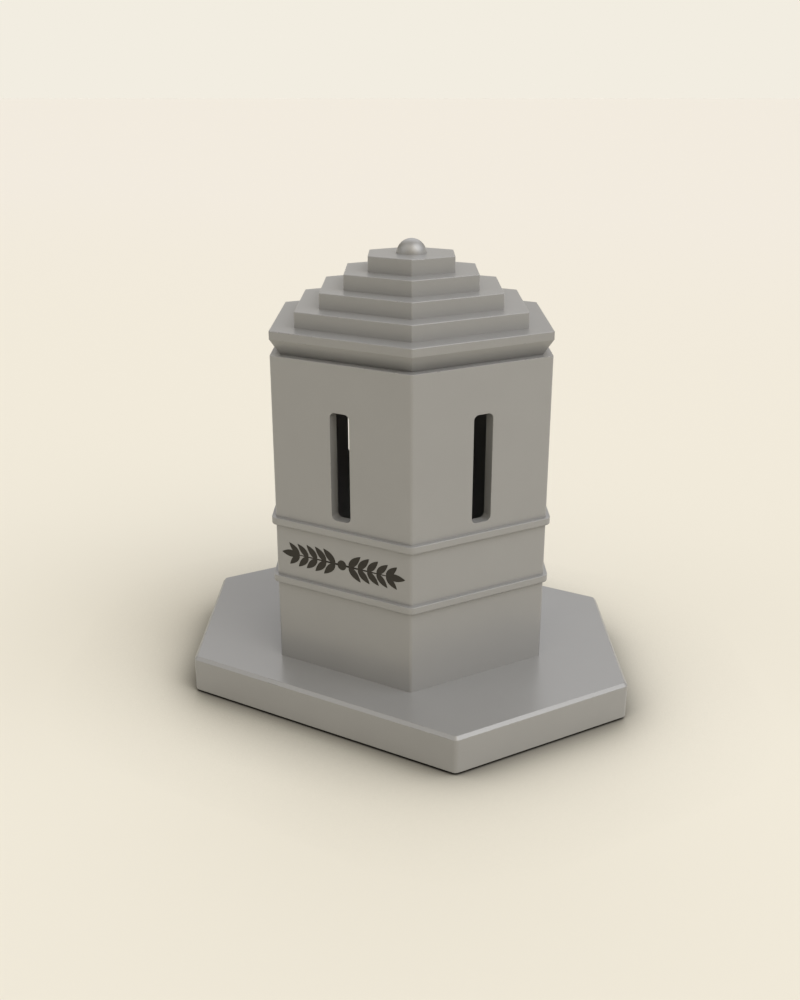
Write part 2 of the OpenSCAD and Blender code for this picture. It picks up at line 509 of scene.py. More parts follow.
def seen_rays(tree: bpy.types.NodeTree) -> tuple[bpy.types.NodeSocket, bpy.types.NodeSocket]:
    """Adds the test of who sees a backdrop.

    Args:
        tree: The node tree of the backdrop's material or of the world.

    Returns:
        A socket that is 1 for the camera, and one that is 1 in a mirroring or clear surface.
    """
    rays = add_node(tree, "ShaderNodeLightPath")
    mirrored = add_node(
        tree,
        "ShaderNodeMath",
        {0: rays.outputs["Is Glossy Ray"], 1: rays.outputs["Is Transmission Ray"]},
        operation="MAXIMUM",
    )
    return rays.outputs["Is Camera Ray"], mirrored.outputs["Value"]


# Outlines and profiles


def rounded_hexagon(front: float, side: float, radius: float, steps: int = 6) -> list[Point]:
    """Gives the outline of a hexagon with rounded corners and flats facing -Y and +Y.

    Args:
        front: Half width across the flats that face -Y and +Y.
        side: Half width across each of the other two pairs of flats.
        radius: Radius of the corners.
        steps: Straight pieces in each corner's arc.

    Returns:
        The outline's points, anticlockwise seen from above.
    """
    points: list[Point] = []
    cosine = math.cos(SIXTH)
    for corner in range(SIDES):
        start = corner * SIXTH - QUARTER
        here = front if corner % 3 == 0 else side
        there = front if (corner + 1) % 3 == 0 else side
        normals = [Vector((math.cos(start + t), math.sin(start + t))) for t in (0.0, SIXTH)]
        tip = (
            normals[0] * (here - there * cosine) + normals[1] * (there - here * cosine)
        ) / (1 - cosine**2)
        centre = tip - (normals[0] + normals[1]) * radius / (1 + cosine)
        for step in range(steps + 1):
            angle = start + SIXTH * step / steps
            points.append(
                (centre.x + radius * math.cos(angle), centre.y + radius * math.sin(angle))
            )
    return points


@dataclass(frozen=True)
class Turn:
    """One corner of a profile: how far it lies inside the outline, its height and its rounding."""

    inset: float
    z: float
    radius: float = 0.0


@dataclass(frozen=True)
class Level:
    """One ring of a lofted piece."""

    inset: float
    z: float
    worn: float  # 1 on the strip that leads up to this ring where it is a broken edge


def softened(turns: list[Turn], steps: int = 3) -> list[Level]:
    """Rounds the corners of a profile.

    Args:
        turns: The profile's corners in order.
        steps: Straight pieces in each rounded corner.

    Returns:
        The rings of the softened profile, in the same order.
    """
    levels = [Level(turns[0].inset, turns[0].z, 0.0)]
    for before, here, after in zip(turns, turns[1:], turns[2:]):
        corner = Vector((here.inset, here.z))
        if here.radius == 0:
            levels.append(Level(here.inset, here.z, 0.0))
            continue
        to_before = (Vector((before.inset, before.z)) - corner).normalized()
        to_after = (Vector((after.inset, after.z)) - corner).normalized()
        half = to_before.angle(to_after) / 2
        reach = here.radius / math.tan(half)
        centre = corner + (to_before + to_after).normalized() * here.radius / math.sin(half)
        first = corner + to_before * reach - centre
        last = corner + to_after * reach - centre
        for step in range(steps + 1):
            arm = first.lerp(last, step / steps).normalized() * here.radius
            levels.append(Level(centre.x + arm.x, centre.y + arm.y, 0.0 if step == 0 else 1.0))
    levels.append(Level(turns[-1].inset, turns[-1].z, 0.0))
    return levels


class Former:
    """Builds one piece's mesh ring by ring."""

    def __init__(self) -> None:
        """Starts an empty mesh with the attribute that marks broken edges."""
        self.mesh = bmesh.new()
        self.worn = self.mesh.faces.layers.float.new("worn")

    def ring(self, points: list[Vector]) -> list[bmesh.types.BMVert]:
        """Adds a row of vertices and returns it."""
        return [self.mesh.verts.new(point) for point in points]

    def strip(
        self,
        one: list[bmesh.types.BMVert],
        other: list[bmesh.types.BMVert],
        worn: float = 0.0,
        closed: bool = True,
    ) -> None:
        """Joins two rows of as many vertices by a strip of faces.

        Args:
            one: The first row.
            other: The second row.
            worn: 1 where the strip is a broken edge.
            closed: Whether the rows are rings.
        """
        count = len(one)
        for i in range(count if closed else count - 1):
            j = (i + 1) % count
            face = self.mesh.faces.new((one[i], one[j], other[j], other[i]))
            face[self.worn] = worn

    def cap(self, ring: list[bmesh.types.BMVert]) -> None:
        """Closes a ring with one flat face."""
        self.mesh.faces.new(ring)

    def sheet(self, *rings: list[bmesh.types.BMVert]) -> None:
        """Fills the flat region between an outer ring and the holes in it.

        Args:
            rings: The outer ring and then the holes' rings.
        """
        edges = []
        for ring in rings:
            for i, vert in enumerate(ring):
                pair = (vert, ring[(i + 1) % len(ring)])
                edges.append(self.mesh.edges.get(pair) or self.mesh.edges.new(pair))
        bmesh.ops.triangle_fill(self.mesh, use_beauty=True, edges=edges)

    def loft(
        self,
        front: float,
        side: float,
        radius: float,
        levels: list[Level],
        least_radius: float = 0.02 * MM,
    ) -> list[list[bmesh.types.BMVert]]:
        """Joins rings of one rounded hexagon, drawn in and rounded less at each level.

        Args:
            front: Half width across the front and back flats.
            side: Half width across the other flats.
            radius: Radius of the upright corners.
            levels: The rings, in order.
            least_radius: The smallest radius that a drawn-in corner keeps.

        Returns:
            The first and the last ring.
        """
        rings = []
        for level in levels:
            outline = rounded_hexagon(
                front - level.inset, side - level.inset, max(radius - level.inset, least_radius)
            )
            rings.append(self.ring([Vector((x, y, level.z)) for x, y in outline]))
        for one, other, level in zip(rings, rings[1:], levels[1:]):
            self.strip(one, other, level.worn)
        return [rings[0], rings[-1]]

    def finish(self, name: str) -> bpy.types.Mesh:
        """Turns what was built into a mesh with outward faces.

        Args:
            name: The mesh's name.

        Returns:
            The mesh.
        """
        bmesh.ops.remove_doubles(self.mesh, verts=self.mesh.verts, dist=MERGE)
        bmesh.ops.recalc_face_normals(self.mesh, faces=self.mesh.faces)
        mesh = bpy.data.meshes.new(name)
        self.mesh.to_mesh(mesh)
        self.mesh.free()
        return mesh


def evaluated(carrier: bpy.types.Object, name: str) -> bpy.types.Object:
    """Turns an object with modifiers into a plain one.

    Args:
        carrier: The object, which is removed.
        name: The new object's name.

    Returns:
        An object at the origin with a plain mesh and no modifiers.
    """
    graph = bpy.context.evaluated_depsgraph_get()
    mesh = bpy.data.meshes.new_from_object(
        carrier.evaluated_get(graph), preserve_all_data_layers=True, depsgraph=graph
    )
    mesh.name = name
    bpy.data.objects.remove(carrier)
    piece = bpy.data.objects.new(name, mesh)
    bpy.context.scene.collection.objects.link(piece)
    return piece


def place(mesh: bpy.types.Mesh, name: str) -> bpy.types.Object:
    """Puts a mesh in the scene as a new object.

    Args:
        mesh: The mesh.
        name: The object's name.

    Returns:
        The object.
    """
    thing = bpy.data.objects.new(name, mesh)
    bpy.context.scene.collection.objects.link(thing)
    return thing


@dataclass
class Piece:
    """A finished piece: what carries it, what it stands for and what it is made of."""

    name: str
    body: Body
    slot: Slot | None
    nodes: tuple[str, ...] = ()
    crease: float = math.radians(32)  # a sharper angle between faces shows as an edge

    def settle(self, thing: bpy.types.Object, material: bpy.types.Material) -> bpy.types.Object:
        """Gives the piece its shading, its material and its place in the frame.

        Args:
            thing: The built object, with no modifiers left on it. Where it stands for a node,
                it is built about X = Y = 0 and is moved to the node's axis here.
            material: Its finish.

        Returns:
            The finished piece.
        """
        thing.data.shade_smooth()
        thing.data.set_sharp_from_angle(angle=self.crease)
        level = thing.modifiers.new("flats", "WEIGHTED_NORMAL")
        level.mode = "FACE_AREA"
        level.keep_sharp = True
        piece = evaluated(thing, self.name)
        piece.data.materials.clear()
        piece.data.materials.append(material)
        if self.nodes:
            low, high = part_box(self.nodes[0])
            axis = Matrix.Translation(((low[0] + high[0]) / 2, (low[1] + high[1]) / 2, 0))
            piece.data.transform(axis)
        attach(piece, self.body.value)
        if self.nodes:
            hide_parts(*self.nodes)
        LOG.info("%s rides on %s: %d faces", self.name, self.body.value, len(piece.data.polygons))
        return piece


# Geometry Nodes trees


class NodeTree:
    """A Geometry Nodes tree with named inputs, which one object runs at a time."""

    def __init__(self, name: str) -> None:
        """Starts a tree with a geometry input and output.

        Args:
            name: The tree's name.
        """
        self.tree = bpy.data.node_groups.new(name, "GeometryNodeTree")
        self.sockets: dict[str, str] = {}
        self.add_input("Geometry", "NodeSocketGeometry")
        self.tree.interface.new_socket(
            "Geometry", in_out="OUTPUT", socket_type="NodeSocketGeometry"
        )

    def add_input(self, name: str, kind: str = "NodeSocketFloat") -> None:
        """Adds a named input to the tree."""
        socket = self.tree.interface.new_socket(name, in_out="INPUT", socket_type=kind)
        self.sockets[name] = socket.identifier

    def close(self, geometry: bpy.types.NodeSocket, material: bpy.types.NodeSocket) -> None:
        """Ends the tree: instances are made real and the material is set.

        Args:
            geometry: What the tree has made.
            material: The material input's socket.
        """
        real = add_node(self.tree, "GeometryNodeRealizeInstances", {"Geometry": geometry})
        joined = add_node(
            self.tree,
            "GeometryNodeMergeByDistance",
            {"Geometry": real.outputs["Geometry"], "Distance": MERGE},
        )
        dressed = add_node(
            self.tree,
            "GeometryNodeSetMaterial",
            {"Geometry": joined.outputs["Geometry"], "Material": material},
        )
        add_node(self.tree, "NodeGroupOutput", {0: dressed.outputs["Geometry"]})

    def run(
        self, carrier: bpy.types.Object, name: str, values: dict[str, object]
    ) -> bpy.types.Object:
        """Runs the tree on an object.

        Args:
            carrier: The object that the tree starts from, which is removed.
            name: The new object's name.
            values: A value for each named input.

        Returns:
            A plain object with what the tree made.
        """
        modifier = carrier.modifiers.new(self.tree.name, "NODES")
        modifier.node_group = self.tree
        for key, value in values.items():
            modifier[self.sockets[key]] = value
        return evaluated(carrier, name)


class RoundRepeat(NodeTree):
    """Repeats one sector about the upright axis: the same wall, bead or moulding on each side."""

    def __init__(self) -> None:
        """Builds the tree."""
        super().__init__("round_repeat")
        self.add_input("Sides", "NodeSocketInt")
        self.add_input("Material", "NodeSocketMaterial")
        start = add_node(self.tree, "NodeGroupInput")
        points = add_node(self.tree, "GeometryNodePoints", {"Count": start.outputs["Sides"]})
        index = add_node(self.tree, "GeometryNodeInputIndex")
        share = add_node(
            self.tree,
            "ShaderNodeMath",
            {0: index.outputs["Index"], 1: start.outputs["Sides"]},
            operation="DIVIDE",
        )
        angle = add_node(
            self.tree,
            "ShaderNodeMath",
            {0: share.outputs["Value"], 1: math.tau},
            operation="MULTIPLY",
        )
        turn = add_node(self.tree, "ShaderNodeCombineXYZ", {"Z": angle.outputs["Value"]})
        copies = add_node(
            self.tree,
            "GeometryNodeInstanceOnPoints",
            {
                "Points": points.outputs[0],
                "Instance": start.outputs["Geometry"],
                "Rotation": turn.outputs["Vector"],
            },
        )
        self.close(copies.outputs["Instances"], start.outputs["Material"])


class StepPlate(NodeTree):
    """Makes one hexagonal plate of the roof from its half width, its levels and its broken edge."""

    EDGE_STEPS = 3
    CORNER_POINTS = 4

    def __init__(self) -> None:
        """Builds the tree."""
        super().__init__("step_plate")
        for name in ("Half width", "Foot", "Height", "Edge break", "Corner radius"):
            self.add_input(name)
        self.add_input("Material", "NodeSocketMaterial")
        tree = self.tree
        start = add_node(tree, "NodeGroupInput")
        size = start.outputs
        reach = add_node(
            tree,
            "ShaderNodeMath",
            {0: size["Half width"], 1: math.cos(HALF_SIXTH)},
            operation="DIVIDE",
        )
        circle = add_node(
            tree,
            "GeometryNodeCurvePrimitiveCircle",
            {"Resolution": SIDES, "Radius": reach.outputs["Value"]},
        )
        fillet = add_node(
            tree,
            "GeometryNodeFilletCurve",
            {"Curve": circle.outputs["Curve"], "Radius": size["Corner radius"]},
        )
        self.set_poly(fillet)
        face = add_node(tree, "GeometryNodeFillCurve", {"Curve": fillet.outputs["Curve"]})
        self.set_ngons(face)
        lift = add_node(tree, "ShaderNodeCombineXYZ", {"Z": size["Foot"]})
        foot = add_node(
            tree,
            "GeometryNodeTransform",
            {"Geometry": face.outputs["Mesh"], "Translation": lift.outputs["Vector"]},
        )
        underside = add_node(tree, "GeometryNodeFlipFaces", {"Mesh": foot.outputs["Geometry"]})
        side = add_node(
            tree,
            "ShaderNodeMath",
            {0: size["Height"], 1: size["Edge break"]},
            operation="SUBTRACT",
        )
        rise = add_node(tree, "ShaderNodeCombineXYZ", {"Z": side.outputs["Value"]})
        wall = add_node(
            tree,
            "GeometryNodeExtrudeMesh",
            {
                "Mesh": foot.outputs["Geometry"],
                "Offset": rise.outputs["Vector"],
                "Offset Scale": 1.0,
                "Individual": False,
            },
            mode="FACES",
        )
        body = wall.outputs["Mesh"]
        for step in range(self.EDGE_STEPS):
            body = self.edge_step(body, size, step)
        joined = add_node(tree, "GeometryNodeJoinGeometry", {"Geometry": body})
        tree.links.new(underside.outputs["Mesh"], joined.inputs["Geometry"])
        self.close(joined.outputs["Geometry"], size["Material"])

    def set_poly(self, fillet: bpy.types.Node) -> None:
        """Sets a fillet to straight pieces of the full radius.

        Args:
            fillet: The fillet's node.
        """
        if hasattr(fillet, "mode"):
            fillet.mode = "POLY"
        for socket in fillet.inputs:
            if socket.name == "Count":
                socket.default_value = self.CORNER_POINTS
            if socket.name == "Limit Radius":
                socket.default_value = False

    def set_ngons(self, face: bpy.types.Node) -> None:
        """Sets a filled curve to one face."""
        if hasattr(face, "mode"):
            face.mode = "NGONS"

    def edge_step(
        self, mesh: bpy.types.NodeSocket, size: bpy.types.NodeOutputs, step: int
    ) -> bpy.types.NodeSocket:
        """Adds one strip of the rounded top edge.

        Args:
            mesh: The plate so far.
            size: The tree's inputs.
            step: Which strip this is, from the side upwards.

        Returns:
            The plate with the strip on it.
        """
        tree = self.tree
        low, high = (QUARTER * (step + k) / self.EDGE_STEPS for k in (0, 1))
        normal = add_node(tree, "GeometryNodeInputNormal")
        up = add_node(tree, "ShaderNodeSeparateXYZ", {"Vector": normal.outputs[0]})
        top = add_node(
            tree,
            "FunctionNodeCompare",
            {0: up.outputs["Z"], 1: LEVEL_UP},
            data_type="FLOAT",
            operation="GREATER_THAN",
        )
        rise = add_node(
            tree,
            "ShaderNodeMath",
            {0: size["Edge break"], 1: math.sin(high) - math.sin(low)},
            operation="MULTIPLY",
        )
        offset = add_node(tree, "ShaderNodeCombineXYZ", {"Z": rise.outputs["Value"]})
        raised = add_node(
            tree,
            "GeometryNodeExtrudeMesh",
            {
                "Mesh": mesh,
                "Selection": top.outputs[0],
                "Offset": offset.outputs["Vector"],
                "Offset Scale": 1.0,
                "Individual": False,
            },
            mode="FACES",
        )
        widths = [
            add_node(
                tree,
                "ShaderNodeMath",
                {0: size["Edge break"], 1: math.cos(angle) - 1, 2: size["Half width"]},
                operation="MULTIPLY_ADD",
            )
            for angle in (low, high)
        ]
        factor = add_node(
            tree,
            "ShaderNodeMath",
            {0: widths[1].outputs["Value"], 1: widths[0].outputs["Value"]},
            operation="DIVIDE",
        )
        marked = add_node(
            tree,
            "GeometryNodeStoreNamedAttribute",
            {
                "Geometry": raised.outputs["Mesh"],
                "Selection": raised.outputs["Side"],
                "Name": "worn",
                "Value": 1.0,
            },
            data_type="FLOAT",
            domain="FACE",
        )
        drawn = add_node(
            tree,
            "GeometryNodeScaleElements",
            {
                "Geometry": marked.outputs["Geometry"],
                "Selection": raised.outputs["Top"],
                "Scale": factor.outputs["Value"],
            },
            domain="FACE",
        )
        return drawn.outputs["Geometry"]


class LeafRow(NodeTree):
    """Sets opposite leaves along a stem, each a little smaller than the last."""

    SEED = 18

    def __init__(self) -> None:
        """Builds the tree, whose input geometry is the stem's curve."""
        super().__init__("leaf_row")
        self.add_input("Leaf", "NodeSocketObject")
        self.add_input("Pairs", "NodeSocketInt")
        for name in ("Spread", "Last size", "Unevenness"):
            self.add_input(name)
        self.add_input("Material", "NodeSocketMaterial")
        tree = self.tree
        start = add_node(tree, "NodeGroupInput")
        leaf = add_node(
            tree,
            "GeometryNodeObjectInfo",
            {"Object": start.outputs["Leaf"]},
            transform_space="ORIGINAL",
        )
        points = add_node(
            tree,
            "GeometryNodeCurveToPoints",
            {"Curve": start.outputs["Geometry"], "Count": start.outputs["Pairs"]},
            mode="COUNT",
        )
        along = add_node(tree, "GeometryNodeInputIndex")
        share = add_node(
            tree,
            "ShaderNodeMath",
            {0: along.outputs["Index"], 1: start.outputs["Pairs"]},
            operation="DIVIDE",
        )
        shrink = add_node(
            tree,
            "ShaderNodeMapRange",
            {"Value": share.outputs["Value"], "To Min": 1.0, "To Max": start.outputs["Last size"]},
        )
        parts = []
        for side in (1, -1):
            shift = add_node(
                tree,
                "FunctionNodeRandomValue",
                {"ID": along.outputs["Index"], "Seed": self.SEED + side},
                data_type="FLOAT",
            )
            wobble = add_node(
                tree,
                "ShaderNodeMath",
                {0: shift.outputs[1], 1: start.outputs["Unevenness"], 2: start.outputs["Spread"]},
                operation="MULTIPLY_ADD",
            )
            signed = add_node(
                tree,
                "ShaderNodeMath",
                {0: wobble.outputs["Value"], 1: float(side)},
                operation="MULTIPLY",
            )
            tilt = add_node(tree, "ShaderNodeCombineXYZ", {"Y": signed.outputs["Value"]})
            placed = add_node(
                tree,
                "GeometryNodeInstanceOnPoints",
                {
                    "Points": points.outputs["Points"],
                    "Instance": leaf.outputs["Geometry"],
                    "Rotation": tilt.outputs["Vector"],
                    "Scale": shrink.outputs["Result"],
                },
            )
            parts.append(placed.outputs["Instances"])
        joined = add_node(tree, "GeometryNodeJoinGeometry", {"Geometry": parts[0]})
        tree.links.new(parts[1], joined.inputs["Geometry"])
        self.close(joined.outputs["Geometry"], start.outputs["Material"])


# Sub-assemblies


@dataclass
class Finishes:
    """The finishes that the pieces share, built once."""

    satin: bpy.types.Material = field(default_factory=SATIN_ALUMINIUM.build)
    eaves: bpy.types.Material = field(default_factory=EAVES_ALUMINIUM.build)
    polished: bpy.types.Material = field(default_factory=POLISHED_ALUMINIUM.build)
    steel: bpy.types.Material = field(default_factory=ZINC_STEEL.build)
    foam: bpy.types.Material = field(default_factory=FOAM_RUBBER.build)
    enamel: bpy.types.Material = field(default_factory=DARK_ENAMEL.build)


@dataclass
class Base:
    """The base plate and the pad let into its underside."""

    bevel: float = 0.6 * MM
    bevel_soft: float = 0.15 * MM  # rounding of the bevel's two edges
    foot_soft: float = 0.12 * MM
    corner_radius: float = 1.2 * MM
    least_corner: float = 0.3 * MM  # of the drawn-in corners
    top_ring: float = 2.4 * MM  # from the outline to the ring that the flat top is closed on
    pad_margin: float = 3.0 * MM
    pad_corner: float = 3.0 * MM
    pad_gap: float = 0.3 * MM
    pad_soft: float = 0.25 * MM

    def build(self, finishes: Finishes) -> None:
        """Builds the plate and the pad.

        Args:
            finishes: The built finishes.
        """
        low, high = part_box("base_plate")
        pad_low, pad_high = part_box("base_pad")
        front = high[1]
        side = (high[0] + self.corner_radius * (1 / math.cos(HALF_SIXTH) - 1)) * math.cos(
            HALF_SIXTH
        )
        form = Former()
        turns = [
            Turn(self.pad_margin, low[2]),
            Turn(0.0, low[2], self.foot_soft),
            Turn(0.0, high[2] - self.bevel, self.bevel_soft),
            Turn(self.bevel, high[2], self.bevel_soft),
            Turn(self.top_ring, high[2]),
        ]
        foot, top = form.loft(
            front, side, self.corner_radius, softened(turns), least_radius=self.least_corner
        )
        form.cap(top)
        ceiling = form.ring(self.pad_outline(front, side, 0.0, pad_high[2]))
        mouth = form.ring(self.pad_outline(front, side, 0.0, low[2]))
        form.strip(foot, mouth)
        form.strip(mouth, ceiling)
        form.cap(ceiling)
        Piece("base_plate_bevelled", Body.BOX, Slot.SATIN, ("base_plate",)).settle(
            place(form.finish("base"), "base"), finishes.satin
        )

        pad = Former()
        soft = self.pad_soft
        rings = [
            pad.ring(self.pad_outline(front, side, self.pad_gap + inset, z))
            for inset, z in (
                (soft, pad_low[2]),
                (soft * SOFT_MIDDLE, pad_low[2] + soft * SOFT_MIDDLE),
                (0.0, pad_low[2] + soft),
                (0.0, pad_high[2]),
            )
        ]
        for one, other in zip(rings, rings[1:]):
            pad.strip(one, other)
        pad.cap(rings[0])
        pad.cap(rings[-1])
        Piece("foam_pad", Body.BOX, Slot.PAD, ("base_pad",)).settle(
            place(pad.finish("pad"), "pad"), finishes.foam
        )

    def pad_outline(self, front: float, side: float, gap: float, z: float) -> list[Vector]:
        """Gives the outline of the recess or of the pad in it.

        Args:
            front: Half width of the plate across its front and back.
            side: Half width of the plate across its other flats.
            gap: How far the outline is drawn in from the recess.
            z: Its height.

        Returns:
            The outline's points.
        """
        inset = self.pad_margin + gap
        outline = rounded_hexagon(front - inset, side - inset, self.pad_corner)
        return [Vector((x, y, z)) for x, y in outline]


@dataclass
class SlitTube:
    """The hexagonal body with a slit in each of its six walls, and the two beads round it."""

    wall: float = 2.2 * MM
    corner_radius: float = 0.8 * MM
    corner_steps: int = 5  # in each half corner
    slit_width: float = 4.1 * MM
    slit_height: float = 20.7 * MM
    slit_head: float = 9.0 * MM  # wall between the slit and the rim
    slit_corner: float = 1.0 * MM
    slit_soft: float = 0.1 * MM  # rounding of the slit's outer edge
    slit_steps: int = 6
    rim_soft: float = 0.15 * MM
    bead_top_soft: float = 0.1 * MM  # rounding of a bead's upper edge
    bead_foot_soft: float = 0.3 * MM  # rounding of its lower edge
    bead_steps: int = 5  # in each of those edges

    def half_outline(self, apothem: float, radius: float) -> list[Point]:
        """Gives the round of the front wall's right-hand corner, up to the corner's middle.

        Args:
            apothem: From the axis to the wall.
            radius: Radius of the corner.

        Returns:
            The points in order.
        """
        centre_x = (apothem - radius) * math.tan(HALF_SIXTH)
        points = []
        for step in range(self.corner_steps + 1):
            angle = HALF_SIXTH * step / self.corner_steps
            points.append(
                (
                    centre_x + radius * math.sin(angle),
                    -(apothem - radius) - radius * math.cos(angle),
                )
            )
        return points

    def outline(self, apothem: float, radius: float, z: float) -> list[Vector]:
        """Gives the front wall's outline from corner to corner.

        Args:
            apothem: From the axis to the wall.
            radius: Radius of the corners.
            z: The outline's height.

        Returns:
            The points from left to right.
        """
        right = self.half_outline(apothem, radius)
        left = [(-x, y) for x, y in reversed(right)]
        return [Vector((x, y, z)) for x, y in left + right]

    def slit_outline(self, grow: float, y: float) -> list[Vector]:
        """Gives the slit's outline.

        Args:
            grow: How much wider it is drawn all round.
            y: The plane that it lies in.

        Returns:
            The outline's points.
        """
        radius = self.slit_corner + grow
        across = self.slit_width / 2 + grow - radius
        up = self.slit_height / 2 + grow - radius
        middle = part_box("body_shell")[1][2] - self.slit_head - self.slit_height / 2
        points = []
        for corner, (sx, sz) in enumerate(((1, 1), (-1, 1), (-1, -1), (1, -1))):
            for step in range(self.slit_steps + 1):
                angle = QUARTER * (corner + step / self.slit_steps)
                points.append(
                    Vector(
                        (
                            sx * across + radius * math.cos(angle),
                            y,
                            middle + sz * up + radius * math.sin(angle),
                        )
                    )
                )
        return points

    def wall_sector(self) -> bpy.types.Mesh:
        """Builds one wall of the tube with its slit and half of each corner.

        Returns:
            The sector's mesh, open where the next sector joins it.
        """
        low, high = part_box("body_shell")
        apothem = half_width("body_shell")
        inner = apothem - self.wall
        soft = self.rim_soft
        form = Former()
        levels = [
            (0.0, low[2], 0.0),
            (0.0, high[2] - soft, 0.0),
            (soft * SOFT_MIDDLE, high[2] - soft * SOFT_MIDDLE, 1.0),
            (soft, high[2], 1.0),
        ]
        rows = [
            form.ring(self.outline(apothem - inset, self.corner_radius - inset, z))
            for inset, z, _ in levels
        ]
        inside = [
            form.ring([Vector((x, -inner, z)) for x in (-self.inner_half, self.inner_half)])
            for z in (low[2], high[2])
        ]
        middle = self.corner_steps
        for part in (slice(0, middle + 1), slice(middle + 1, None)):
            form.strip(rows[0][part], rows[1][part], closed=False)
        for one, other, level in zip(rows[1:], rows[2:], levels[2:]):
            form.strip(one, other, level[2], closed=False)
        form.cap(inside[0][::-1] + rows[0])
        form.cap(rows[-1] + inside[1][::-1])

        edge = self.slit_soft
        depths = [(edge, 0.0), (edge * SOFT_MIDDLE, edge * SOFT_MIDDLE), (0.0, edge)]
        slit = [form.ring(self.slit_outline(grow, -apothem + deep)) for grow, deep in depths]
        slit.append(form.ring(self.slit_outline(0.0, -inner)))
        for one, other, worn in zip(slit, slit[1:], (1.0, 1.0, 0.0)):
            form.strip(one, other, worn)
        panel = rows[0][middle : middle + 2] + rows[1][middle : middle + 2][::-1]
        form.sheet(panel, slit[0])
        form.sheet(inside[0] + inside[1][::-1], slit[-1])
        return form.finish("wall_sector")

    @property
    def inner_half(self) -> float:
        """Half the width of a wall inside the tube."""
        return (half_width("body_shell") - self.wall) * math.tan(HALF_SIXTH)

    def bead_sector(self, node: str) -> bpy.types.Mesh:
        """Builds one length of a bead, rounded with the body's corners.

        Args:
            node: The frame's node for the bead.

        Returns:
            The sector's mesh.
        """
        low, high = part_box(node)
        apothem = half_width("body_shell")
        out = half_width(node) - apothem
        form = Former()
        levels = softened(
            [
                Turn(out, low[2]),
                Turn(0.0, low[2], self.bead_foot_soft),
                Turn(0.0, high[2], self.bead_top_soft),
                Turn(out, high[2]),
            ],
            steps=self.bead_steps,
        )
        rows = [
            form.ring(
                self.outline(
                    apothem + out - level.inset, self.corner_radius + out - level.inset, level.z
                )
            )
            for level in levels
        ]
        for one, other in zip(rows, rows[1:]):
            form.strip(one, other, closed=False)
        form.strip(rows[-1], rows[0], closed=False)
        return form.finish("bead_sector")

    def build(self, finishes: Finishes, repeat: RoundRepeat) -> None:
        """Builds the tube and the beads.

        Args:
            finishes: The built finishes.
            repeat: The tree that sets a wall or a bead's length on each side.
        """
        jobs = (
            ("slit_tube", "body_shell", self.wall_sector()),
            ("soft_edged_bead_lower", "lower_bead", self.bead_sector("lower_bead")),
            ("soft_edged_bead_upper", "upper_bead", self.bead_sector("upper_bead")),
        )
        for name, node, sector in jobs:
            ring = repeat.run(
                place(sector, "sector"), name, {"Sides": SIDES, "Material": finishes.satin}
            )
            Piece(name, Body.BOX, Slot.SATIN, (node,)).settle(ring, finishes.satin)


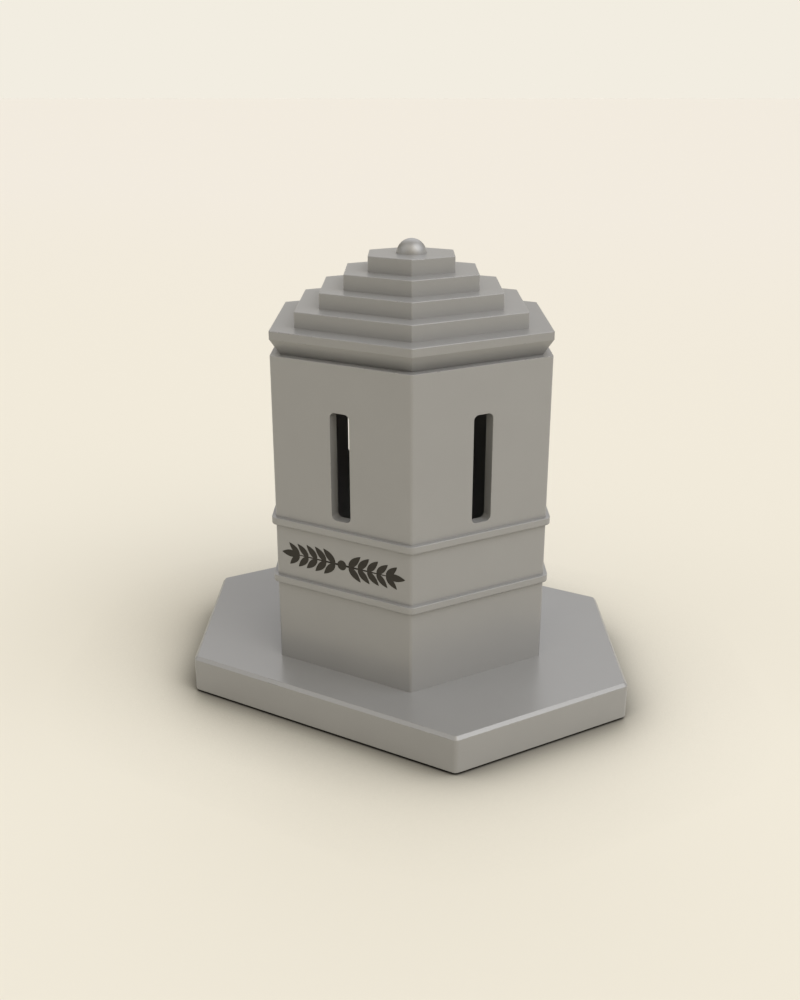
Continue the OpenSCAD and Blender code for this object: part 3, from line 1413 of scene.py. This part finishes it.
@dataclass
class Sprig:
    """A twig of paired leaves on both sides of a berry, inlaid in the front of the band."""

    half_length: float = 13.8 * MM
    leaf_length: float = 3.7 * MM
    leaf_width: float = 1.45 * MM
    leaf_belly: float = 0.8  # below 1 the leaf is widest nearer its foot
    leaf_fullness: float = 0.85  # below 1 its outline is rounder
    leaf_steps: int = 10
    pairs: int = 5
    first_pair: float = 1.5 * MM  # from the middle
    last_size: float = 0.85  # of the outermost pair against the first
    spread: float = math.radians(42)  # between a leaf and the stem
    unevenness: float = math.radians(6)
    stem_width: float = 0.42 * MM
    berry: float = 1.0 * MM
    berry_steps: int = 24
    drop: float = 0.25 * MM  # from the middle of the band
    proud: float = 0.03 * MM
    sunk: float = 0.2 * MM

    def blade(self, form: Former, outline: list[Point], proud: float) -> None:
        """Adds a flat blade that is sunk in the wall at Y = 0.

        Args:
            form: Where it is added.
            outline: Its outline in X and Z.
            proud: How far its front stands before the wall.
        """
        front = form.ring([Vector((x, -proud, z)) for x, z in outline])
        back = form.ring([Vector((x, self.sunk, z)) for x, z in outline])
        form.cap(front)
        form.cap(back)
        form.strip(front, back)

    def leaf_outline(self, start: float = 0.0, turned: int = 1) -> list[Point]:
        """Gives a leaf's outline, a pointed oval.

        Args:
            start: X of its foot, from the middle.
            turned: 1 where it grows along +X and -1 where it grows the other way.

        Returns:
            The outline's points in X and Z.
        """
        upper = []
        for step in range(self.leaf_steps + 1):
            t = step / self.leaf_steps
            swell = math.sin(math.pi * t**self.leaf_belly) ** self.leaf_fullness if step else 0.0
            upper.append((turned * (start + self.leaf_length * t), self.leaf_width / 2 * swell))
        upper[-1] = (upper[-1][0], 0.0)
        lower = [(x, -z) for x, z in reversed(upper[1:-1])]
        return upper + lower

    def build(self, finishes: Finishes, leaves: LeafRow) -> None:
        """Builds the twig as one piece on the front wall.

        Args:
            finishes: The built finishes.
            leaves: The tree that sets the leaves along a stem.
        """
        form = Former()
        self.blade(form, self.leaf_outline(), self.proud)
        leaf = place(form.finish("leaf"), "leaf")
        tip = self.half_length - self.leaf_length
        whole = Former()
        for side in (-1, 1):
            curve = bpy.data.curves.new("stem", "CURVE")
            curve.dimensions = "3D"
            line = curve.splines.new("POLY")
            line.points.add(1)
            for point, x in zip(line.points, (self.first_pair, tip - self.stem_width)):
                point.co = (side * x, 0, 0, 1)
            carrier = bpy.data.objects.new("stem", curve)
            bpy.context.scene.collection.objects.link(carrier)
            values = {
                "Leaf": leaf,
                "Pairs": self.pairs,
                "Spread": self.spread if side > 0 else math.pi - self.spread,
                "Last size": self.last_size,
                "Unevenness": side * self.unevenness,
                "Material": finishes.enamel,
            }
            row = leaves.run(carrier, "twig", values)
            whole.mesh.from_mesh(row.data)
            bpy.data.objects.remove(row)
            half = self.stem_width / 2
            stem = [(0, -half), (side * tip, -half / 2), (side * tip, half / 2), (0, half)]
            self.blade(whole, stem, self.proud / 2)
            self.blade(whole, self.leaf_outline(tip, side), self.proud)
        bpy.data.objects.remove(leaf)
        turn = math.tau / self.berry_steps
        berry = [
            (self.berry * math.cos(turn * k), self.berry * math.sin(turn * k))
            for k in range(self.berry_steps)
        ]
        self.blade(whole, berry, self.proud)
        mesh = whole.finish("sprig")
        band = (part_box("lower_bead")[1][2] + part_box("upper_bead")[0][2]) / 2
        wall_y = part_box("body_shell")[0][1]
        mesh.transform(Matrix.Translation((0, wall_y, band - self.drop)))
        Piece("band_sprig", Body.BOX, None).settle(place(mesh, "sprig"), finishes.enamel)


@dataclass
class SteppedLid:
    """The lid: the eaves moulding, the roof's plates and the ball."""

    eaves_seat: float = 1.82 * MM  # how far the foot of the eaves is drawn in
    eaves_bevel_height: float = 2.95 * MM
    eaves_bevel_soft: float = 0.12 * MM
    eaves_foot_soft: float = 0.08 * MM
    eaves_rings: tuple[float, float] = (3.64 * MM, 0.6 * MM)  # that its foot and top close on
    edge_break: float = 0.15 * MM
    corner_radius: float = 0.35 * MM
    ball_radius: float = 2.92 * MM
    ball_bore: float = 1.53 * MM
    ball_bore_top: float = 3.65 * MM  # above the ball's lowest point
    ball_rings: int = 48
    ball_turns: int = 96
    plates: tuple[str, ...] = ("roof_plate_2", "roof_plate_3", "roof_plate_4", "crown_plate")

    def build(self, finishes: Finishes, plate: StepPlate) -> None:
        """Builds the lid's pieces.

        Args:
            finishes: The built finishes.
            plate: The tree that makes one plate of the roof.
        """
        low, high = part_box("eaves_plate")
        form = Former()
        turns = [
            Turn(self.eaves_rings[0], low[2]),
            Turn(self.eaves_seat, low[2], self.eaves_foot_soft),
            Turn(0.0, low[2] + self.eaves_bevel_height, self.eaves_bevel_soft),
            Turn(0.0, high[2], self.edge_break),
            Turn(self.eaves_rings[1], high[2]),
        ]
        apothem = half_width("eaves_plate")
        foot, top = form.loft(
            apothem,
            apothem,
            self.corner_radius,
            softened(turns),
            least_radius=self.corner_radius / 2,
        )
        form.cap(foot)
        form.cap(top)
        Piece("eaves_moulding", Body.LID, Slot.SATIN, ("eaves_plate",)).settle(
            place(form.finish("eaves"), "eaves"), finishes.eaves
        )
        for node in self.plates:
            low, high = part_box(node)
            values = {
                "Half width": half_width(node),
                "Foot": low[2],
                "Height": high[2] - low[2],
                "Edge break": self.edge_break,
                "Corner radius": self.corner_radius,
                "Material": finishes.satin,
            }
            blank = place(bpy.data.meshes.new("blank"), "blank")
            Piece(f"{node}_stepped", Body.LID, Slot.SATIN, (node,)).settle(
                plate.run(blank, node, values), finishes.satin
            )
        Piece("polished_ball", Body.LID, Slot.BRIGHT, ("finial_ball",)).settle(
            place(self.ball_mesh(), "ball"), finishes.polished
        )

    def ball_mesh(self) -> bpy.types.Mesh:
        """Builds the ball with the threaded hole in its foot.

        Returns:
            The ball's mesh.
        """
        centre_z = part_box("finial_ball")[1][2] - self.ball_radius
        form = Former()
        lowest = math.asin(self.ball_bore / self.ball_radius)
        profile = []
        for step in range(1, self.ball_rings + 1):
            angle = (math.pi - lowest) * step / self.ball_rings
            profile.append(
                (self.ball_radius * math.sin(angle), centre_z + self.ball_radius * math.cos(angle))
            )
        bore_top = centre_z - self.ball_radius + self.ball_bore_top
        profile.append((self.ball_bore, bore_top))
        rings = []
        for r, z in profile:
            rings.append(
                form.ring(
                    [
                        Vector(
                            (
                                r * math.cos(math.tau * k / self.ball_turns),
                                r * math.sin(math.tau * k / self.ball_turns),
                                z,
                            )
                        )
                        for k in range(self.ball_turns)
                    ]
                )
            )
        (pole,) = form.ring([Vector((0.0, 0.0, centre_z + self.ball_radius))])
        for k in range(self.ball_turns):
            form.mesh.faces.new((pole, rings[0][k], rings[0][(k + 1) % self.ball_turns]))
        for one, other in zip(rings, rings[1:]):
            form.strip(one, other)
        form.cap(rings[-1])
        return form.finish("ball")


@dataclass
class HiddenPieces:
    """The frame's own pieces that keep their shape and only take a finish."""

    satin: tuple[str, ...] = ("floor_block", "lid_plug")
    steel: tuple[str, ...] = ("body_screws", "lid_screw", "stack_pins")

    def dress(self, frame: dict, finishes: Finishes) -> None:
        """Gives each node its finish.

        Args:
            finishes: The built finishes.
        """
        for names, material in ((self.satin, finishes.satin), (self.steel, finishes.steel)):
            for name in names:
                for slot in frame["nodes"][name].material_slots:
                    slot.material = material
                LOG.info("%s keeps its solid and is finished as %s", name, material.name)


# Studio


@dataclass(frozen=True)
class SoftLight:
    """One soft patch of light on the walls or the ceiling of the room."""

    heading_deg: float  # of its middle, from +X towards +Y
    height_deg: float  # of its middle, above the floor
    reach_deg: float  # from its middle to where it has faded out
    light: tuple[float, float, float]

    @property
    def towards(self) -> tuple[float, float, float]:
        """Points to the patch's middle.

        Returns:
            The unit vector from the box.
        """
        heading, height = math.radians(self.heading_deg), math.radians(self.height_deg)
        return (
            math.cos(height) * math.cos(heading),
            math.cos(height) * math.sin(heading),
            math.sin(height),
        )


@dataclass
class Studio:
    """The paper, the light round the box and the camera."""

    paper_reach_m: float = 60.0  # from the box to each of the paper's three corners
    paper_corner_deg: float = 60.0  # heading of one of them, so that a side lies square behind
    lens_mm: float = 39.791
    sensor_mm: float = 36.0
    camera_at: tuple[float, float, float] = (0.10596, -0.18381, 0.11419)
    camera_along: tuple[float, float, float] = (-0.47374, 0.81029, -0.34495)
    backdrop_seen: str = "#f2ede1"
    backdrop_top_deg: float = 5.0  # how high above the paper the cream backdrop mirrors in metal
    backdrop_fades_deg: float = 9.0
    even_light: tuple[float, float, float] = (0.13, 0.10, 0.04)
    lights: tuple[SoftLight, ...] = (
        SoftLight(0, 45, 40, (1.42, 1.44, 1.48)),
        SoftLight(-25, 40, 35, (1.16, 1.13, 1.09)),
        SoftLight(20, 40, 35, (0.80, 0.83, 0.89)),
        SoftLight(-20, 60, 25, (0.50, 0.50, 0.51)),
        SoftLight(120, 45, 40, (1.20, 1.22, 1.30)),
        SoftLight(-120, 45, 40, (0.81, 0.82, 0.86)),
        SoftLight(-60, 45, 40, (0.68, 0.61, 0.50)),
        SoftLight(-150, 10, 45, (0.47, 0.50, 0.53)),
        SoftLight(60, 45, 40, (0.25, 0.26, 0.29)),
        SoftLight(30, 10, 45, (0.20, 0.22, 0.26)),
        SoftLight(-30, 10, 45, (0.10, 0.06, 0.0)),
    )

    def build(self) -> None:
        """Builds the whole studio."""
        self.lay_paper()
        self.light_room()
        self.set_camera()
        bpy.context.scene.view_settings.view_transform = "Standard"

    def lay_paper(self) -> None:
        """Lays the paper that the box stands on: one triangle, so that no seam runs through it."""
        form = Former()
        headings = [math.radians(self.paper_corner_deg) + math.tau * k / 3 for k in range(3)]
        form.cap(
            form.ring(
                [Vector((math.cos(a), math.sin(a), 0)) * self.paper_reach_m for a in headings]
            )
        )
        paper = place(form.finish("paper"), "backdrop_paper")
        paper.data.materials.append(BackdropPaper().build())

    def light_room(self) -> None:
        """Sets the room's light, and the cream backdrop that the camera and the metal see."""
        world = bpy.data.worlds.new("white_room")
        bpy.context.scene.world = world
        world.use_nodes = True
        tree = world.node_tree
        tree.nodes.clear()
        heading = add_node(tree, "ShaderNodeTexCoord").outputs["Generated"]
        total = add_node(
            tree, "ShaderNodeCombineXYZ", dict(zip("XYZ", self.even_light))
        ).outputs["Vector"]
        for light in self.lights:
            near = add_node(
                tree,
                "ShaderNodeVectorMath",
                {0: heading, 1: light.towards},
                operation="DOT_PRODUCT",
            )
            share = add_node(
                tree,
                "ShaderNodeMapRange",
                {
                    "Value": near.outputs["Value"],
                    "From Min": math.cos(math.radians(light.reach_deg)),
                    "From Max": 1.0,
                },
                interpolation_type="SMOOTHSTEP",
            )
            total = add_node(
                tree,
                "ShaderNodeVectorMath",
                {0: share.outputs["Result"], 1: light.light, 2: total},
                operation="MULTIPLY_ADD",
            ).outputs["Vector"]
        camera, mirrored = seen_rays(tree)
        upward = add_node(tree, "ShaderNodeSeparateXYZ", {"Vector": heading}).outputs["Z"]
        low_wall = add_node(
            tree,
            "ShaderNodeMapRange",
            {
                "Value": upward,
                "From Min": math.sin(math.radians(self.backdrop_fades_deg)),
                "From Max": math.sin(math.radians(self.backdrop_top_deg)),
            },
            interpolation_type="SMOOTHSTEP",
        ).outputs["Result"]
        mirrored = add_node(
            tree, "ShaderNodeMath", {0: mirrored, 1: low_wall}, operation="MULTIPLY"
        ).outputs["Value"]
        backdrop = add_node(
            tree,
            "ShaderNodeMath",
            {0: camera, 1: mirrored},
            operation="MAXIMUM",
        ).outputs["Value"]
        room = add_node(tree, "ShaderNodeBackground", {"Color": total})
        seen = add_node(tree, "ShaderNodeBackground", {"Color": linear(self.backdrop_seen)})
        mixed = add_node(
            tree,
            "ShaderNodeMixShader",
            {0: backdrop, 1: room.outputs["Background"], 2: seen.outputs["Background"]},
        )
        add_node(tree, "ShaderNodeOutputWorld", {"Surface": mixed.outputs["Shader"]})

    def set_camera(self) -> None:
        """Sets the camera that took the photograph's view."""
        lens = bpy.data.cameras.new("view")
        lens.sensor_fit = "VERTICAL"
        lens.sensor_height = self.sensor_mm
        lens.sensor_width = self.sensor_mm
        lens.lens = self.lens_mm
        lens.clip_start = 0.005
        lens.clip_end = 100.0
        camera = bpy.data.objects.new("view", lens)
        camera.location = self.camera_at
        camera.rotation_euler = Vector(self.camera_along).to_track_quat("-Z", "Y").to_euler()
        bpy.context.scene.collection.objects.link(camera)
        bpy.context.scene.camera = camera


def main() -> None:
    """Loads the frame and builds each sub-assembly in turn."""
    logging.basicConfig(level=logging.INFO, format="%(name)s: %(message)s")
    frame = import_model()
    finishes = Finishes()
    Base().build(finishes)
    SlitTube().build(finishes, RoundRepeat())
    Sprig().build(finishes, LeafRow())
    SteppedLid().build(finishes, StepPlate())
    HiddenPieces().dress(frame, finishes)
    Studio().build()


if __name__ == "__main__":
    main()
